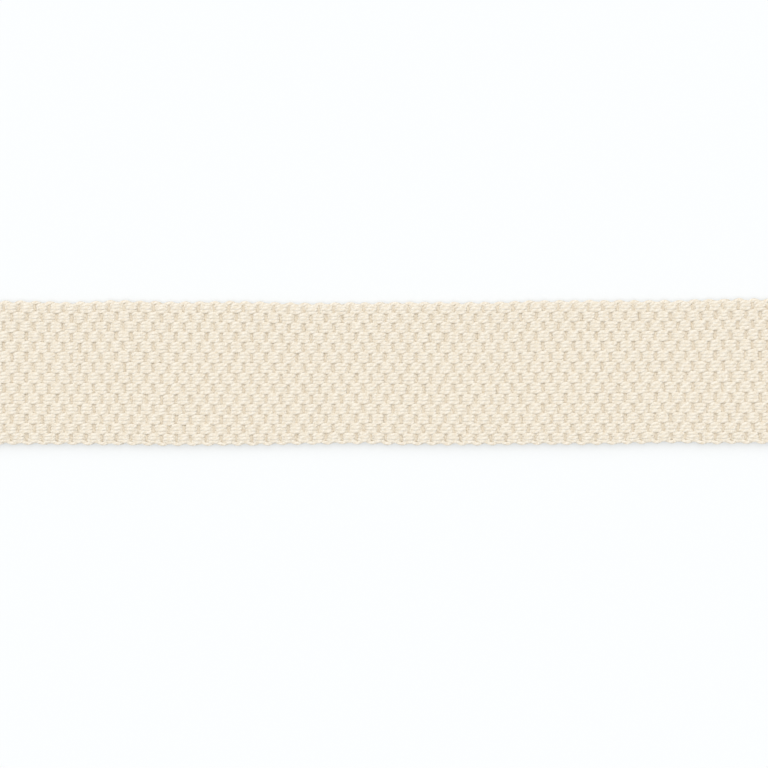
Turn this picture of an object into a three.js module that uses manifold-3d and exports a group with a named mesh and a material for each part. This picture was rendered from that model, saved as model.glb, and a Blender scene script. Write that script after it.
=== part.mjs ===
// A cut length of flat woven braid trim, lying on a table with its face up.
// Lengths are in millimetres. X runs along the braid, Y across it and Z up, and the origin is the
// middle of the underside. The braid is one piece of cloth: rows of cotton warp yarns run its whole
// length, with a single yarn outside the last row on either side. One weft yarn crosses them all,
// turns round that single yarn and comes back, which scallops both edges. Single yarns are too fine
// for the solid, which holds the rows, the scallops, the thickness and the uneven outline.

import * as THREE from "three";
import { mergeVertices } from "three/addons/utils/BufferGeometryUtils.js";
import Module from "manifold-3d";

// The cut piece.
const LENGTH = 240;
const THICKNESS = 2.1;

// The weave: rows of warp across the width, and picks of weft along the length.
const ROWS = 14;
const ROW_PITCH = 2.76; // in the middle of the width
const ROW_CROWDING = 0.0027; // how much closer the rows lie towards the edges
const PICK_PITCH = 1.983;
const FIRST_PICK = -118.47;
const TURN_PITCH = 2 * PICK_PITCH; // a turn on one edge for every pick there and back
const TURN_LAG = 0.35; // from a pick to the middle of the turn after it
const FIRST_TURN = FIRST_PICK + TURN_LAG; // on the lower edge

// A row's section: a flat crest with a groove on either side of it.
const GROOVE_DEPTH = 0.3;
const CREST_WIDTH = 1.3;

// The edges, measured outwards from the centre line of the outer row.
const EDGE_REACH = 1.3; // to the bottom of a scallop
const TURN_REACH = 1.85; // to the outermost point of a weft turn
const EDGE_ROUNDING = 0.5;

// A weft turn with the yarn it goes round, as a flattened ball half sunk in the edge.
const TURN_LENGTH = 3.1;
const TURN_DEPTH = 1.9;
const TURN_HEIGHT = 1.3;
const TURN_SIDES = 8;
const TURN_RINGS = 4;

const LENGTHWISE_STEPS = 32;

// How far each edge strays outwards from straight, at distances from the middle of the length.
const UNEVENNESS = [
  { along: -120, upper: 0.0, lower: 0.0 },
  { along: -97, upper: 0.08, lower: 0.0 },
  { along: -82, upper: -0.25, lower: 0.0 },
  { along: -70, upper: 0.2, lower: 0.1 },
  { along: -57, upper: -0.15, lower: 0.27 },
  { along: -38, upper: -0.07, lower: 0.23 },
  { along: -21, upper: -0.48, lower: -0.05 },
  { along: -5, upper: -0.35, lower: -0.2 },
  { along: 5, upper: -0.23, lower: 0.12 },
  { along: 24, upper: -0.3, lower: 0.13 },
  { along: 42, upper: 0.17, lower: 0.0 },
  { along: 57, upper: 0.25, lower: 0.0 },
  { along: 78, upper: 0.2, lower: -0.45 },
  { along: 86, upper: 0.5, lower: -0.15 },
  { along: 94, upper: 0.68, lower: -0.25 },
  { along: 120, upper: 0.5, lower: -0.1 },
];

const OUTER_ROW = rowMiddle(ROWS - 1);
const HALF_STRIP = OUTER_ROW + EDGE_REACH;

const wasm = await Module();
wasm.setup();

// Where the middle of a row of warp lies across the straight strip, counted from the lower edge.
function rowMiddle(row) {
  const fromMiddle = row - (ROWS - 1) / 2;
  return ROW_PITCH * fromMiddle - ROW_CROWDING * fromMiddle ** 3;
}

// How far the two edges stray at a place along the braid, eased from one row of the table to the
// next.
function unevennessAt(x) {
  const ahead = UNEVENNESS.findIndex((row) => row.along > x);
  const end = ahead < 0 ? UNEVENNESS.length - 1 : Math.max(ahead, 1);
  const from = UNEVENNESS[end - 1];
  const to = UNEVENNESS[end];
  const share = THREE.MathUtils.smoothstep(x, from.along, to.along);
  return {
    upper: THREE.MathUtils.lerp(from.upper, to.upper, share),
    lower: THREE.MathUtils.lerp(from.lower, to.lower, share),
  };
}

// Where a point of the straight strip lies on the uneven one. The middle strays by half of what
// its two edges do together.
function strayed(x, y) {
  const { upper, lower } = unevennessAt(x);
  return y + THREE.MathUtils.mapLinear(y, -HALF_STRIP, HALF_STRIP, -lower, upper);
}

// The section of the straight strip, seen along its length: a flat underside, rounded edges and a
// crest for each row of warp.
function sectionShape() {
  const grooveTop = THICKNESS - GROOVE_DEPTH;
  const half = CREST_WIDTH / 2;
  const section = new THREE.Shape();
  section.moveTo(-HALF_STRIP + EDGE_ROUNDING, 0);
  section.lineTo(HALF_STRIP - EDGE_ROUNDING, 0);
  section.lineTo(HALF_STRIP, EDGE_ROUNDING);
  section.lineTo(HALF_STRIP, grooveTop - EDGE_ROUNDING);
  for (let row = ROWS - 1; row >= 0; row--) {
    const middle = rowMiddle(row);
    section.lineTo(middle + half, THICKNESS);
    section.lineTo(middle - half, THICKNESS);
    if (row > 0) section.lineTo((middle + rowMiddle(row - 1)) / 2, grooveTop);
  }
  section.lineTo(-HALF_STRIP, grooveTop - EDGE_ROUNDING);
  section.lineTo(-HALF_STRIP, EDGE_ROUNDING);
  section.closePath();
  return section;
}

// The ribbed strip: the section drawn out along X, and each of its points moved to where it strays.
function stripGeometry() {
  const strip = new THREE.ExtrudeGeometry(sectionShape(), {
    depth: LENGTH,
    steps: LENGTHWISE_STEPS,
    bevelEnabled: false,
  });
  // The extrusion runs along Z with the section in X and Y, and the strip runs along X.
  strip.applyMatrix4(
    new THREE.Matrix4().makeBasis(
      new THREE.Vector3(0, 1, 0),
      new THREE.Vector3(0, 0, 1),
      new THREE.Vector3(1, 0, 0),
    ),
  );
  strip.translate(-LENGTH / 2, 0, 0);
  const points = strip.getAttribute("position");
  for (let i = 0; i < points.count; i++) {
    points.setY(i, strayed(points.getX(i), points.getY(i)));
  }
  return strip;
}

// One turn of the weft, at a place along one edge. side is 1 or -1.
function turnGeometry(x, side) {
  const turn = new THREE.SphereGeometry(0.5, TURN_SIDES, TURN_RINGS);
  turn.scale(TURN_LENGTH, TURN_DEPTH, TURN_HEIGHT);
  const outermost = OUTER_ROW + TURN_REACH;
  const middle = side * (outermost - TURN_DEPTH / 2);
  turn.translate(x, strayed(x, middle), THICKNESS / 2);
  return turn;
}

// Every turn. The weft turns on one edge half a turn pitch after the other.
function turnGeometries() {
  const turns = [];
  for (const side of [-1, 1]) {
    const first = FIRST_TURN + (side > 0 ? PICK_PITCH : 0);
    const end = LENGTH / 2 - TURN_LENGTH / 2;
    for (let x = first; x < end; x += TURN_PITCH) turns.push(turnGeometry(x, side));
  }
  return turns;
}

// A closed geometry as a solid that can be joined to others.
function solidOf(geometry) {
  const bare = geometry.index ? geometry.toNonIndexed() : geometry.clone();
  bare.deleteAttribute("normal");
  bare.deleteAttribute("uv");
  const merged = mergeVertices(bare, 1e-4);
  return new wasm.Manifold(
    new wasm.Mesh({
      numProp: 3,
      vertProperties: merged.getAttribute("position").array,
      triVerts: new Uint32Array(merged.index.array),
    }),
  );
}

// A solid as a geometry, with its middle in Y on the X axis.
function centredGeometry(solid) {
  const { numProp, vertProperties, triVerts } = solid.getMesh();
  const geometry = new THREE.BufferGeometry();
  const buffer = new THREE.InterleavedBuffer(vertProperties, numProp);
  const points = new THREE.InterleavedBufferAttribute(buffer, 3, 0);
  geometry.setAttribute("position", points);
  geometry.setIndex(new THREE.BufferAttribute(triVerts, 1));
  geometry.computeBoundingBox();
  const { min, max } = geometry.boundingBox;
  geometry.translate(0, -(min.y + max.y) / 2, 0);
  geometry.computeVertexNormals();
  return geometry;
}

// The band: the strip with all its weft turns, joined into one body.
function bandMesh() {
  const band = turnGeometries().reduce(
    (joined, turn) => joined.add(solidOf(turn)),
    solidOf(stripGeometry()),
  );
  const cotton = new THREE.MeshStandardMaterial({
    color: 0xede3d1,
    roughness: 0.95,
    metalness: 0,
    side: THREE.FrontSide,
  });
  const mesh = new THREE.Mesh(centredGeometry(band), cotton);
  mesh.name = "braid_band";
  return mesh;
}

const braid = new THREE.Group();
braid.add(bandMesh());

export default braid;
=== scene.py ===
# %% [markdown]
# # A cut length of woven braid trim
#
# The real thing is a flat braid of soft undyed cotton, an inch and a half wide and about two
# millimetres thick, of the kind that is sewn over a seam or along an edge. It lies flat, and is seen
# from straight above. At this distance every yarn shows, so a picture of a weave on a flat strip
# would look like one: its blocks would have no thickness and its edges no waves.
#
# This lesson therefore builds the braid the way a narrow loom does, yarn by yarn. Rows of warp run
# the whole length, three yarns to a row, with a single yarn outside the last row on either side.
# One weft yarn crosses them all, passing over one row and under the next, turns round the single
# yarn and comes back.

import math

import bmesh
import bpy
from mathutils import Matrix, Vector, noise


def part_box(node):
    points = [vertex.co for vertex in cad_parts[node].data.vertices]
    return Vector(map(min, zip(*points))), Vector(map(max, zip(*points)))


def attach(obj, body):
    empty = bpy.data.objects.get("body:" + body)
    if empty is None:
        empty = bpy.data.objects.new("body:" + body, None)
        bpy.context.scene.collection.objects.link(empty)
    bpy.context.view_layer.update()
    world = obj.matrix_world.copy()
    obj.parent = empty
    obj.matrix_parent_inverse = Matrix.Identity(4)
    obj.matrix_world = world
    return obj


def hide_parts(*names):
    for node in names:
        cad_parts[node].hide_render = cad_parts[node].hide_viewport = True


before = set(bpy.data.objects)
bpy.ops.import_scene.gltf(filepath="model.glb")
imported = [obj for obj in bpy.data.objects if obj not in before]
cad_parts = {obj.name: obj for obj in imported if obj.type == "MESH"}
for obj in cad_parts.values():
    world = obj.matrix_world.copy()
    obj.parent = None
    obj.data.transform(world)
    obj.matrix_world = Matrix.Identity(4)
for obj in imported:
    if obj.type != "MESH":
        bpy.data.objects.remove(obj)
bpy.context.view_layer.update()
band_low, band_high = (Vector(corner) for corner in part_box("braid_band"))
print("the band measures", [round(side * 1000, 1) for side in band_high - band_low], "mm")

# %% [markdown]
# ## The weave in numbers
#
# A weave is a grid. Rows of warp are counted across the width and picks of weft along the length,
# and at each crossing one of the two is on top. Sizes are in millimetres, because that is how a
# weaver would measure them, and become metres only when a mesh is finished.
#
# The rows crowd together a little towards the edges, where the weft pulls on them as it turns. A
# cube of the distance from the middle does that in one term.

# %% The grid of rows and picks
MM = 0.001
LENGTH = (band_high.x - band_low.x) / MM
THICKNESS = (band_high.z - band_low.z) / MM

ROWS = 14
MIDDLE_ROW = (ROWS - 1) / 2
ROW_PITCH = 2.76
ROW_CROWDING = 0.0027

PICKS = 120
PICK_PITCH = 1.983
FIRST_PICK = -118.47


def row_middle(row):
    """How far across the straight braid a row lies, counted in rows from the lower edge."""
    from_middle = row - MIDDLE_ROW
    return ROW_PITCH * from_middle - ROW_CROWDING * from_middle**3


OUTER_ROW = row_middle(ROWS - 1)
print("outer rows at", round(OUTER_ROW, 2), "mm on both sides of the middle")

# %% [markdown]
# ## An edge that isn't straight
#
# Soft braid never lies quite straight. Each edge strays by up to half a millimetre or so, and the
# rows between them share it out. A short table holds how far each edge strays outwards at some
# places along the braid, and a smooth step leads from one place to the next, so that there is no
# corner in between.

# %% The uneven outline
EDGE_REACH = 1.3  # from the middle of the outer row to the edge
HALF_STRIP = OUTER_ROW + EDGE_REACH
UNEVENNESS = [
    # along, upper edge, lower edge
    (-120, 0.0, 0.0),
    (-97, 0.08, 0.0),
    (-82, -0.25, 0.0),
    (-70, 0.2, 0.1),
    (-57, -0.15, 0.27),
    (-38, -0.07, 0.23),
    (-21, -0.48, -0.05),
    (-5, -0.35, -0.2),
    (5, -0.23, 0.12),
    (24, -0.3, 0.13),
    (42, 0.17, 0.0),
    (57, 0.25, 0.0),
    (78, 0.2, -0.45),
    (86, 0.5, -0.15),
    (94, 0.68, -0.25),
    (120, 0.5, -0.1),
]
WIDEST_UPPER = max(upper for along, upper, lower in UNEVENNESS)
WIDEST_LOWER = max(lower for along, upper, lower in UNEVENNESS)
TO_MIDDLE = (WIDEST_LOWER - WIDEST_UPPER) / 2


def unevenness_at(x):
    """How far the upper and the lower edge stray outwards at a place along the braid."""
    end = next((i for i, stray in enumerate(UNEVENNESS) if stray[0] > x), len(UNEVENNESS) - 1)
    start = max(end - 1, 0)
    (low_x, *low), (high_x, *high) = UNEVENNESS[start], UNEVENNESS[max(end, 1)]
    share = min(max((x - low_x) / (high_x - low_x), 0), 1)
    eased = share * share * (3 - 2 * share)
    return [a + (b - a) * eased for a, b in zip(low, high)]


def strayed(x, y):
    """Where a point across the straight braid lies on the uneven one."""
    upper, lower = unevenness_at(x)
    share = (y + HALF_STRIP) / (2 * HALF_STRIP)
    return y + (upper + lower) * share - lower + TO_MIDDLE


print("the upper edge strays up to", WIDEST_UPPER, "mm outwards, the lower one", WIDEST_LOWER, "mm")

# %% [markdown]
# ## A yarn is a curve with a round section
#
# A yarn could be a cylinder bent by a modifier, but a curve is simpler: its points are the yarn's
# path, each with a radius, and its bevel draws the round section along them. Several yarns can be
# splines of one curve object.

# %% Drawing yarns along their paths
SECTION_ROUNDNESS = 2


def drawn_yarns(name, paths, pressed):
    """The mesh of a round yarn along each path, with its heights stretched by 1 / pressed.

    A path's points are (x, y, z, radius).
    """
    curve = bpy.data.curves.new(name, "CURVE")
    curve.dimensions = "3D"
    curve.bevel_depth = 1.0
    curve.bevel_resolution = SECTION_ROUNDNESS
    curve.use_fill_caps = True
    for path in paths:
        spline = curve.splines.new("POLY")
        spline.points.add(len(path) - 1)
        for point, (x, y, z, radius) in zip(spline.points, path):
            point.co = (x * MM, y * MM, z * MM / pressed, 1)
            point.radius = radius * MM
    drawn = bpy.data.objects.new(name + "_path", curve)
    bpy.context.scene.collection.objects.link(drawn)
    depsgraph = bpy.context.evaluated_depsgraph_get()
    mesh = bpy.data.meshes.new_from_object(drawn.evaluated_get(depsgraph))
    bpy.data.objects.remove(drawn)
    bpy.data.curves.remove(curve)
    return mesh


print("a yarn's section has", 4 + 2 * SECTION_ROUNDNESS, "sides")

# %% [markdown]
# ## Pressed yarns
#
# Woven yarns are pressed flatter than they are wide. The path is therefore drawn with its heights
# stretched, and the finished mesh is pressed back to its true height, which turns every round
# section into an oval one. The ends that a curve's bevel caps aren't joined to its side, so
# the doubled points there are merged to close each yarn.

# %% Pressing the yarns and closing their ends
MERGE_WITHIN = 0.001


def yarns(name, paths, pressed, material):
    """A mesh piece with one closed yarn for each path.

    pressed is the height of the oval section as a share of its width.
    """
    mesh = drawn_yarns(name, paths, pressed)
    shape = bmesh.new()
    shape.from_mesh(mesh)
    bmesh.ops.remove_doubles(shape, verts=shape.verts, dist=MERGE_WITHIN * MM)
    bmesh.ops.scale(shape, vec=(1, 1, pressed), verts=shape.verts)
    bmesh.ops.recalc_face_normals(shape, faces=shape.faces)
    shape.to_mesh(mesh)
    shape.free()
    mesh.shade_smooth()
    mesh.materials.clear()
    mesh.materials.append(material)
    piece = bpy.data.objects.new(name, mesh)
    bpy.context.scene.collection.objects.link(piece)
    return piece


print("points closer than", MERGE_WITHIN, "mm are merged")

# %% [markdown]
# ## Handmade irregularity
#
# Cotton yarn is thick here and thin there, and each float lies a little differently. Smooth noise
# along a yarn gives that, and because noise is a fixed function of place, every run gives the same
# braid. Each yarn reads the noise along a line of its own, and so does each kind of irregularity.
# A kind is written as its size, its wavelength and its number.

# %% Smooth noise
YARNS_APART = 7.31
KINDS_APART = 13.7
THICK_AND_THIN = (0.08, 2.3, 6)  # as a share of a yarn's width


def wander(kind, place, yarn):
    """A smooth stray at a place along a yarn, at most about as large as the kind's size."""
    size, wavelength, number = kind
    return size * noise.noise(Vector((place / wavelength, yarn * YARNS_APART, number * KINDS_APART)))


print("thickness along a yarn:", [round(1 + wander(THICK_AND_THIN, mm, 1), 3) for mm in range(5)])

# %% [markdown]
# ## The warp's wave
#
# A warp row goes over one pick and under the next. Where it is on top its three yarns lie side by
# side as a block, and between two blocks of a row the weft shows in a narrow gap. The height of a
# yarn is a wave that stays up longer than down, which keeps the gap narrow. A row's two outer
# yarns stay up a little longer than its middle one, so that the gap is narrower at both ends.
#
# Every second block of a row is a little longer on its lower side and the blocks between them on
# their upper side, because the weft comes from one edge in one pick and from the other in the next.

# %% How high a warp yarn is in its wave
YARNS_IN_ROW = 3
OUTER_FLOAT = 0.69  # half a float of an outer yarn, in picks
MIDDLE_FLOAT = 0.645
FLOAT_TAPER = 0.06
PICK_WANDER = (0.22, 6, 1)  # a whole row's picks, in picks
FLOAT_WANDER = (0.07, 3.1, 2)  # half a float, in picks


def yarn_number(row, yarn):
    """The warp yarns counted across the braid. yarn is -1, 0 or 1 from a row's lower side."""
    return row * YARNS_IN_ROW + yarn + 1


def float_wave(from_middle, half_float):
    """1 in the middle of a float, 0 at half_float from it and -1 at one whole pick from it."""
    return math.cos(math.pi * from_middle ** (math.log(0.5) / math.log(half_float)))


def block_side(row, pick):
    """1 at every second block of a row and -1 at the blocks between, with a smooth change."""
    first_block = 1 - row % 2
    return math.cos(math.pi / 2 * (pick - first_block))


def warp_wave(row, yarn, x):
    """How high a warp yarn is in its wave, from -1 to 1, and the side of its block."""
    pick = (x - FIRST_PICK) / PICK_PITCH + wander(PICK_WANDER, x, row)
    side = block_side(row, pick)
    half_float = (OUTER_FLOAT if yarn else MIDDLE_FLOAT) - FLOAT_TAPER * yarn * side
    half_float += wander(FLOAT_WANDER, x, yarn_number(row, yarn))
    return float_wave(abs((pick + row) % 2 - 1), half_float), side


print("the outer yarns of a row are up for", round(OUTER_FLOAT * 100), "percent of their length")

# %% [markdown]
# ## Where a warp yarn lies across the braid
#
# The three yarns of a row keep almost the same distance on top and underneath, and the rows crowd
# them a little towards the edges. Every second block also lies a little higher across the braid,
# again because of the edge that the weft comes from.
#
# The outermost yarn of the outer rows is the exception. It is drawn inwards where it dives and
# comes out again on its floats, which is one half of what makes the edge wavy.

# %% A warp yarn's place across the braid
FLOAT_SPREAD = 0.91  # from yarn to yarn on top
DIVE_SPREAD = 0.93
BLOCK_SHIFT = 0.1
OUTERMOST_DIVE = 0.6  # from the outermost yarn to the next one
LOWER_BULGE = 0.36  # and how much more on a float
UPPER_BULGE = 0.3
YARN_WANDER = (0.08, 1.7, 3)
ROW_WANDER = (0.06, 7, 4)


def row_crowding(row):
    """How close the rows lie at a row, as a share of the distance in the middle of the width."""
    return 1 - 3 * ROW_CROWDING / ROW_PITCH * (row - MIDDLE_ROW) ** 2


def is_outermost(row, yarn):
    """Whether a warp yarn is the one on the outer side of an outer row."""
    return (row, yarn) in ((0, -1), (ROWS - 1, 1))


def warp_across(row, yarn, x, wave, side):
    """How far across the straight braid a warp yarn lies at a place along it."""
    spread = DIVE_SPREAD + (FLOAT_SPREAD - DIVE_SPREAD) * wave * wave
    if is_outermost(row, yarn):
        bulge = LOWER_BULGE if row == 0 else UPPER_BULGE
        spread = OUTERMOST_DIVE + bulge * max(wave, 0) ** 2
    y = row_middle(row) + (yarn * spread + BLOCK_SHIFT * side) * row_crowding(row)
    return y + wander(YARN_WANDER, x, yarn_number(row, yarn)) + wander(ROW_WANDER, x, row)


print("at the edges the rows lie at", round(row_crowding(0) * 100), "percent of the middle pitch")

# %% [markdown]
# ## A warp yarn from one cut to the other
#
# A float is a flattened arch, and the yarn swells a little where it dives and nothing presses it.
# The points of a path stand closer together there, where it is steep. No yarn goes below the
# table, so a path stays above it by at least half the yarn's own height.

# %% The path of a warp yarn
WARP_WIDTH = 1.34
WARP_PRESSED = 0.5
WARP_RISE = (THICKNESS - WARP_WIDTH * WARP_PRESSED) / 2
OUTER_DROP = 0.06  # how much lower the outer yarns of a row rise
EDGE_DROP = 0.1  # and the outermost yarn of all
FLOAT_FLATNESS = 0.4
DIVE_SWELLING = 0.04
HEIGHT_WANDER = (0.03, 1.9, 5)
POINTS_PER_PICK = 7
CROWDING_AT_DIVE = 0.5


def warp_point(row, yarn, x):
    """One point of a warp yarn's path."""
    number = yarn_number(row, yarn)
    wave, side = warp_wave(row, yarn, x)
    y = warp_across(row, yarn, x, wave, side)
    rise = WARP_RISE - OUTER_DROP * abs(yarn) - EDGE_DROP * is_outermost(row, yarn)
    height = math.tanh(FLOAT_FLATNESS * wave) / math.tanh(FLOAT_FLATNESS)
    z = THICKNESS / 2 + rise * height + wander(HEIGHT_WANDER, x, number)
    thickness = 1 + DIVE_SWELLING * (1 - wave * wave) + wander(THICK_AND_THIN, x, number)
    radius = WARP_WIDTH / 2 * row_crowding(row) ** 0.5 * thickness
    return x, strayed(x, y), max(z, radius * WARP_PRESSED), radius


def warp_places():
    """Places along the braid from one cut end to the other, closer together where yarns dive."""
    first = -LENGTH / 2
    places = [first]
    step = 0
    while places[-1] < LENGTH / 2:
        step += 1
        pick = (first - FIRST_PICK) / PICK_PITCH + step / POINTS_PER_PICK
        eased = pick + CROWDING_AT_DIVE * math.sin(2 * math.pi * pick) / (2 * math.pi)
        places.append(FIRST_PICK + PICK_PITCH * eased)
    return places[:-1] + [LENGTH / 2]


def warp_path(row, yarn):
    """A warp yarn from one cut end to the other."""
    return [warp_point(row, yarn, x) for x in warp_places()]


print("a warp yarn has", len(warp_places()), "points")

# %% [markdown]
# ## The yarn along each edge
#
# Beyond each outer row lies one yarn on its own, which is up where the row is down. It curves
# outwards round each gap of the row and a little past it, as the weft's turn round it does. That
# is the other half of what makes the edge wavy.

# %% The path of an edge yarn
EDGE_YARN_WIDTH = 1.0
EDGE_YARN_OUT = 1.45  # from the middle of the outer row, at its outermost
EDGE_FLOAT = 0.8  # half a float, in picks
LOWER_EDGE_RISE = 0.55
UPPER_EDGE_RISE = 0.25
EDGE_CURVE = 0.6
EDGE_LAG = 0.2  # in picks
EDGE_WANDER = (0.1, 2.5, 3)
EDGE_THICK_AND_THIN = (0.15, 2.3, 6)


def edge_point(side, x):
    """One point of an edge yarn's path. side is 1 on the upper edge and -1 on the lower one."""
    row = ROWS if side > 0 else -1
    from_float = ((x - FIRST_PICK) / PICK_PITCH + row) % 2 - 1
    inwards = EDGE_CURVE * (1 - math.cos(math.pi * (from_float - EDGE_LAG))) / 2
    y = side * (OUTER_ROW + EDGE_YARN_OUT - inwards + wander(EDGE_WANDER, x, row))
    rise = UPPER_EDGE_RISE if side > 0 else LOWER_EDGE_RISE
    z = THICKNESS / 2 + rise * float_wave(abs(from_float), EDGE_FLOAT)
    radius = EDGE_YARN_WIDTH / 2 * (1 + wander(EDGE_THICK_AND_THIN, x, row))
    return x, strayed(x, y), z, radius


def edge_path(side):
    """The yarn along one edge, from one cut end to the other."""
    return [edge_point(side, x) for x in warp_places()]


print("the edge yarns' middles lie up to", round(OUTER_ROW + EDGE_YARN_OUT, 2), "mm out")

# %% [markdown]
# ## The weft
#
# One long yarn makes every pick. It runs across the rows in a shallow wave, high over the rows that
# go under it and low under the others. It is thicker and stiffer than it looks in the gaps, so it
# hardly bends, and the warp does the waving.

# %% A pick of the weft
WEFT_WIDTH = 1.15
WEFT_PRESSED = 0.7
WEFT_RISE = 0.14
WEFT_STEP = 0.42
TURN_REACH = 1.32  # how far the weft's middle goes past the outer row
TURN_SQUEEZE = 0.25
WEFT_WANDER = (0.07, 3, 8)
WEFT_THICK_AND_THIN = (0.08, 2.1, 7)


def weft_point(row, pick, x, y):
    """One point of the weft. row and pick are counted as real numbers along its wave."""
    past_row = min(max((abs(y) - OUTER_ROW) / TURN_REACH, 0), 1)
    z = THICKNESS / 2 + WEFT_RISE * math.cos(math.pi * (row + pick + past_row))
    thickness = 1 - TURN_SQUEEZE * past_row + wander(WEFT_THICK_AND_THIN, y, pick)
    x += wander(WEFT_WANDER, y, round(pick))
    return x, strayed(x, y), z, WEFT_WIDTH / 2 * thickness


def pick_points(pick):
    """The weft's run across all the rows in one pick."""
    x = FIRST_PICK + PICK_PITCH * pick
    steps = round(2 * OUTER_ROW / WEFT_STEP)
    points = []
    for step in range(steps + 1):
        row = (ROWS - 1) * step / steps
        points.append(weft_point(row, pick, x, row_middle(row)))
    return points if pick % 2 else points[::-1]


print("a pick has", len(pick_points(0)), "points")

# %% [markdown]
# ## The weft's turns
#
# At the edge the weft turns round the single yarn there in a half ring, a little thinner because it
# is pulled tight, and comes back as the next pick. A half circle would be too pointed, since the
# yarn inside it keeps the turn wide, so the ring is drawn squarer.

# %% The whole weft
TURN_STEPS = 9
TURN_SQUARENESS = 0.6
TURN_REACH_WANDER = (0.12, 1 / 0.7, 9)  # as a share of the reach, along picks
TURN_LEAN_WANDER = (0.15, 1 / 0.9, 10)  # also along picks


def turn_points(pick):
    """The weft's turn round an edge yarn, from one pick to the next."""
    side = 1 if pick % 2 else -1
    row = ROWS - 1 if side > 0 else 0
    reach = TURN_REACH * (1 + wander(TURN_REACH_WANDER, pick, side))
    lean = wander(TURN_LEAN_WANDER, pick, side)
    points = []
    for step in range(1, TURN_STEPS):
        turned = step / TURN_STEPS
        angle = math.pi * turned
        x = FIRST_PICK + PICK_PITCH * (pick + (1 - math.cos(angle)) / 2)
        out = math.sin(angle) ** TURN_SQUARENESS
        y = side * (OUTER_ROW + reach * out)
        points.append(weft_point(row, pick + turned, x + lean * out, y))
    return points


def weft_path():
    """The whole weft, pick after pick."""
    path = []
    for pick in range(PICKS):
        path += pick_points(pick)
        if pick < PICKS - 1:
            path += turn_points(pick)
    return path


weft_line = weft_path()
weft_length = sum(math.dist(a[:3], b[:3]) for a, b in zip(weft_line, weft_line[1:]))
print("the weft is", round(weft_length * MM, 2), "m long and has", len(weft_line), "points")

# %% [markdown]
# ## Twisted yarn
#
# Fibres are twisted into a yarn, which shows as fine slanting lines round it. The bevel gave every
# yarn a UV map, once along its length in U and once round its section in V. A wave across both
# draws the twist on the yarn itself, however the yarn bends, and needs only a few math nodes.


# %% Shader nodes and the twist
PLIES = 2


def node(tree, kind, **settings):
    """A new shader node, with its settings and its inputs' values."""
    made = tree.nodes.new(kind)
    for name, value in settings.items():
        if name in made.inputs:
            made.inputs[name].default_value = value
        else:
            setattr(made, name, value)
    return made


def calculated(tree, operation, *terms):
    """The result of a math node. A term is a number or another node's output."""
    made = node(tree, "ShaderNodeMath", operation=operation)
    for socket, term in zip(made.inputs, terms):
        if isinstance(term, bpy.types.NodeSocket):
            tree.links.new(term, socket)
        else:
            socket.default_value = term
    return made.outputs[0]


def twist_wave(tree, place, turns):
    """A wave that winds round a yarn. turns is how often it goes round from end to end."""
    along_and_round = node(tree, "ShaderNodeSeparateXYZ")
    tree.links.new(place.outputs["UV"], along_and_round.inputs[0])
    along = calculated(tree, "MULTIPLY", along_and_round.outputs["X"], turns)
    plies = calculated(tree, "MULTIPLY_ADD", along_and_round.outputs["Y"], PLIES, along)
    turned = calculated(tree, "MULTIPLY", plies, 2 * math.pi)
    return calculated(tree, "SINE", turned)


print("a yarn's twist shows", PLIES, "plies round its section")

# %% [markdown]
# ## Undyed cotton
#
# Spun cotton is matt, warm white and slightly downy, and a little light goes through it. Sheen gives
# the down and a short subsurface distance the light inside. Fine noise in Object coordinates adds
# the fibres to the twist's relief, and coarser noise the faint change of colour from place to
# place. The weft lies in the gaps between the blocks. It is the same cotton as the warp, but its
# colours are painted darker, as painted shade for the shade that falls on it between the blocks.

# %% The cotton material
TWIST_RELIEF = 1.0
# how strongly the twist paints shade into the creases between the plies and light onto their crests
TWIST_PAINTED_SHADE = 0.12
DARK_BELOW = 0.33
LIGHT_ABOVE = 0.67
COTTON_SURFACE = {
    "Roughness": 0.92,
    "Specular IOR Level": 0.2,
    "Sheen Weight": 0.25,
    "Sheen Roughness": 0.6,
    "Subsurface Weight": 0.3,
    "Subsurface Radius": (1.0, 1.0, 1.0),
    "Subsurface Scale": 0.0003,
}


def set_inputs(made, values):
    """Give a node's inputs their values."""
    for name, value in values.items():
        made.inputs[name].default_value = value


def cotton(name, dark, light, turns):
    """Twisted cotton yarn, from its darker to its lighter colour."""
    material = bpy.data.materials.new(name)
    material.use_nodes = True
    tree = material.node_tree
    shader = tree.nodes["Principled BSDF"]
    set_inputs(shader, COTTON_SURFACE)

    place = node(tree, "ShaderNodeTexCoord")
    twist = twist_wave(tree, place, turns)
    fibres = node(tree, "ShaderNodeTexNoise", Scale=5200.0, Detail=3.0, Roughness=0.7)
    tree.links.new(place.outputs["Object"], fibres.inputs["Vector"])
    patches = node(tree, "ShaderNodeTexNoise", Scale=2400.0, Detail=3.0)
    tree.links.new(place.outputs["Object"], patches.inputs["Vector"])

    bump = node(tree, "ShaderNodeBump", Strength=1.0, Distance=0.00005)
    relief = calculated(tree, "MULTIPLY_ADD", twist, TWIST_RELIEF, fibres.outputs["Fac"])
    tree.links.new(relief, bump.inputs["Height"])
    tree.links.new(bump.outputs["Normal"], shader.inputs["Normal"])

    colours = node(tree, "ShaderNodeValToRGB")
    dark_end, light_end = colours.color_ramp.elements
    dark_end.position = DARK_BELOW
    dark_end.color = (*dark, 1)
    light_end.position = LIGHT_ABOVE
    light_end.color = (*light, 1)
    # The twist's wave paints shade into the colour in the creases between the plies and light onto
    # their crests; the patches are the cotton's own tone, which changes at random.
    shade = calculated(tree, "MULTIPLY_ADD", twist, TWIST_PAINTED_SHADE, patches.outputs["Fac"])
    tree.links.new(shade, colours.inputs["Fac"])
    tree.links.new(colours.outputs["Color"], shader.inputs["Base Color"])
    return material


warp_cotton = cotton("cotton_warp", dark=(0.73, 0.652, 0.528), light=(0.828, 0.773, 0.674), turns=200)
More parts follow.
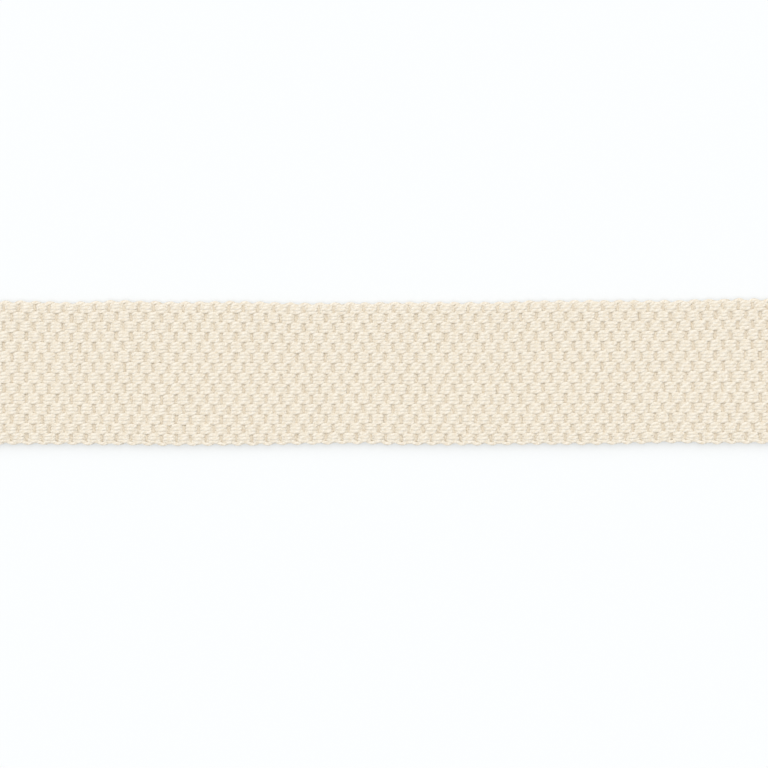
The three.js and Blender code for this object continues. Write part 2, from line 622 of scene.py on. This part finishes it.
# The weft's colours are painted shade: it is the same cotton as the warp, painted darker for the shade
# between the blocks.
weft_cotton_painted_shade = cotton("cotton_weft_painted_shade", dark=(0.645, 0.558, 0.434), light=(0.715, 0.637, 0.512), turns=3000)
print("materials:", warp_cotton.name, weft_cotton_painted_shade.name)

# %% [markdown]
# ## Weaving it
#
# Each row is a piece of its own, with its three yarns. The two edge yarns are one more and the
# weft is the last. That keeps every mesh small enough to handle, and it is how a weaver thinks
# of the cloth.


# %% The woven pieces
def triangles(piece):
    """How many triangles a piece's faces make."""
    return sum(len(face.vertices) - 2 for face in piece.data.polygons)


rows = []
for row in range(ROWS):
    paths = [warp_path(row, yarn) for yarn in (-1, 0, 1)]
    rows.append(yarns(f"warp_row_{row + 1:02d}", paths, WARP_PRESSED, warp_cotton))
print("one warp row has", triangles(rows[0]), "triangles")

edges = yarns("warp_edges", [edge_path(side) for side in (-1, 1)], WARP_PRESSED, warp_cotton)
print("the two edge yarns have", triangles(edges), "triangles")

weft = yarns("weft", [weft_line], WEFT_PRESSED, weft_cotton_painted_shade)
print("the weft has", triangles(weft), "triangles")

# %% [markdown]
# ## The pieces on the object's body
#
# The pieces stand for the plain solid, which is hidden, and ride on the object's one body.

# %% The pieces in the frame
for piece in [*rows, edges, weft]:
    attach(piece, "root")
    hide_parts("braid_band")

print(len(rows) + 2, "pieces stand for the band")

# %% [markdown]
# ## The table
#
# The braid lies on a plain white table. It glows a little, as a light table does, which keeps the
# shadow as pale as it is beside thin cloth on a bright ground. A grid of one face is enough for it,
# many times wider than the view from above.

# %% A glowing white table
TABLE_SIZE = 6.0
TABLE_SURFACE = {
    "Base Color": (0.53, 0.53, 0.53, 1),
    "Emission Color": (0.97, 1.02, 1.04, 1),
    "Emission Strength": 0.335,
    "Roughness": 1.0,
    "Specular IOR Level": 0.0,
}

table_mesh = bpy.data.meshes.new("table")
table_shape = bmesh.new()
bmesh.ops.create_grid(table_shape, x_segments=1, y_segments=1, size=TABLE_SIZE / 2)
table_shape.to_mesh(table_mesh)
table_shape.free()
table = bpy.data.objects.new("table", table_mesh)
bpy.context.scene.collection.objects.link(table)
white = bpy.data.materials.new("white_table")
white.use_nodes = True
set_inputs(white.node_tree.nodes["Principled BSDF"], TABLE_SURFACE)
table_mesh.materials.append(white)
print("the table is", TABLE_SIZE, "m wide")

# %% [markdown]
# ## The light
#
# One very large soft light hangs above the table, a little on the far side, so that the gaps between
# blocks are shaded and the lower edge has a short soft shadow. A sun with a wide angle is such a
# light, and lights every part of the braid alike. An even surround fills in the rest.

# %% The surround and the soft light
SURROUND = {"Color": (1, 1, 1, 1), "Strength": 0.6}
LIGHT_FROM = Vector((-0.06, 0.31, 1.0))
LIGHT_STRENGTH = 2.08
LIGHT_SPREAD = 108

surround = bpy.data.worlds.new("surround")
surround.use_nodes = True
set_inputs(surround.node_tree.nodes["Background"], SURROUND)
bpy.context.scene.world = surround

softbox = bpy.data.lights.new("softbox", "SUN")
softbox.energy = LIGHT_STRENGTH
softbox.angle = math.radians(LIGHT_SPREAD)
softbox_object = bpy.data.objects.new("softbox", softbox)
softbox_object.rotation_euler = (-LIGHT_FROM).to_track_quat("-Z", "Y").to_euler()
bpy.context.scene.collection.objects.link(softbox_object)
tilt = math.degrees(LIGHT_FROM.angle(Vector((0, 0, 1))))
print("the light comes from", round(tilt), "degrees off straight above")

# %% [markdown]
# ## The camera
#
# The camera looks straight down at a place a little below the middle of the braid, which therefore
# lies above the middle of the picture. Its lens is long, so that the top of the braid and the
# table have nearly one scale.

# %% The view from above
VIEW_WIDTH = 203.2 * MM
BAND_ABOVE_MIDDLE = 2.95 * MM
LENS = 100.0
SENSOR = 36.0

camera_data = bpy.data.cameras.new("camera")
camera_data.lens = LENS
camera_data.sensor_width = SENSOR
camera_data.clip_start = 0.01
camera = bpy.data.objects.new("camera", camera_data)
camera.location = (
    0,
    TO_MIDDLE * MM - BAND_ABOVE_MIDDLE,
    THICKNESS * MM + VIEW_WIDTH * LENS / SENSOR,
)
bpy.context.scene.collection.objects.link(camera)
bpy.context.scene.camera = camera
bpy.context.scene.view_settings.view_transform = "Standard"
print("camera height", round(camera.location.z, 3), "m")
